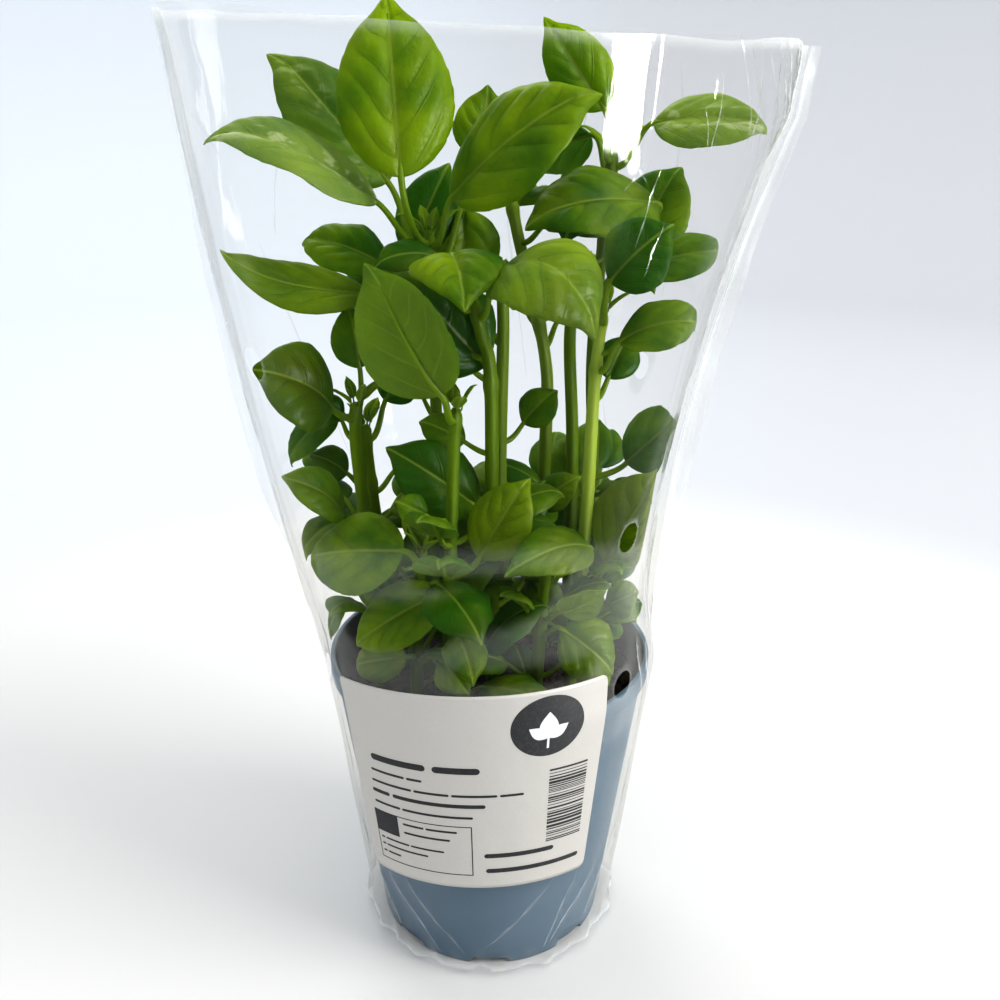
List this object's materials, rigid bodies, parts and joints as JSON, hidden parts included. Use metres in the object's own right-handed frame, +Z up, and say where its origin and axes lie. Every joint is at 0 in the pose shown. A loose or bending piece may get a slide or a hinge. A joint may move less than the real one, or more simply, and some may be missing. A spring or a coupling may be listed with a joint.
{
  "type": "potted basil plant in a film sleeve",
  "caption": "Potted kitchen herb with broad glossy leaves, in a tapered plastic pot, standing inside a clear film sleeve with a plain paper label.",
  "frame": {"origin": "on the pot's axis, on the face of the foot ring that the pot stands on", "axes": "+Z up along the pot's axis, -Y towards the label, which is the front, and +X to the right of someone who faces the label"},
  "size_m": [0.2024, 0.169, 0.3371],
  "materials": {
    "pot_plastic": "moulded slate blue, satin",
    "peat": "moist dark crumbs",
    "stem": "pale green, slightly ribbed, satin",
    "leaf": "fresh green, puffed between sunken veins, waxy",
    "film": "clear, thin, crinkled, high gloss",
    "label_paper": "white coated paper with plain dark bars"
  },
  "bodies": {
    "root": {"pot": "pot_plastic", "soil": "peat", "stem_tall_left": "stem", "leaf_tall_left_1": "leaf", "leaf_tall_left_2": "leaf", "leaf_tall_left_3": "leaf", "leaf_tall_left_4": "leaf", "leaf_tall_left_5": "leaf", "leaf_tall_left_6": "leaf", "leaf_tall_left_7": "leaf", "leaf_tall_left_8": "leaf", "stem_middle": "stem", "leaf_middle_1": "leaf", "leaf_middle_2": "leaf", "leaf_middle_3": "leaf", "leaf_middle_4": "leaf", "stem_middle_tall": "stem", "leaf_middle_tall_1": "leaf", "stem_front": "stem", "leaf_front_1": "leaf", "leaf_front_2": "leaf", "leaf_front_3": "leaf", "leaf_front_4": "leaf", "stem_left": "stem", "leaf_left_1": "leaf", "leaf_left_2": "leaf", "leaf_left_3": "leaf", "leaf_left_4": "leaf", "stem_left_twin": "stem", "leaf_left_twin_1": "leaf", "leaf_left_twin_2": "leaf", "leaf_left_twin_3": "leaf", "stem_back": "stem", "leaf_back_1": "leaf", "leaf_back_2": "leaf", "leaf_back_3": "leaf", "stem_right_back": "stem", "leaf_right_back_1": "leaf", "leaf_right_back_2": "leaf", "stem_right": "stem", "leaf_right_1": "leaf", "leaf_right_2": "leaf", "leaf_right_3": "leaf", "leaf_right_4": "leaf", "stem_tall_right": "stem", "leaf_tall_right_1": "leaf", "leaf_tall_right_2": "leaf", "leaf_tall_right_3": "leaf", "leaf_tall_right_4": "leaf", "leaf_tall_right_5": "leaf", "stem_low_left": "stem", "leaf_low_left_1": "leaf", "leaf_low_left_2": "leaf", "leaf_low_left_3": "leaf", "stem_low_right": "stem", "leaf_low_right_1": "leaf", "leaf_low_right_2": "leaf", "leaf_low_right_3": "leaf", "sleeve": "film", "label": "label_paper"}
  },
  "joints": []
}
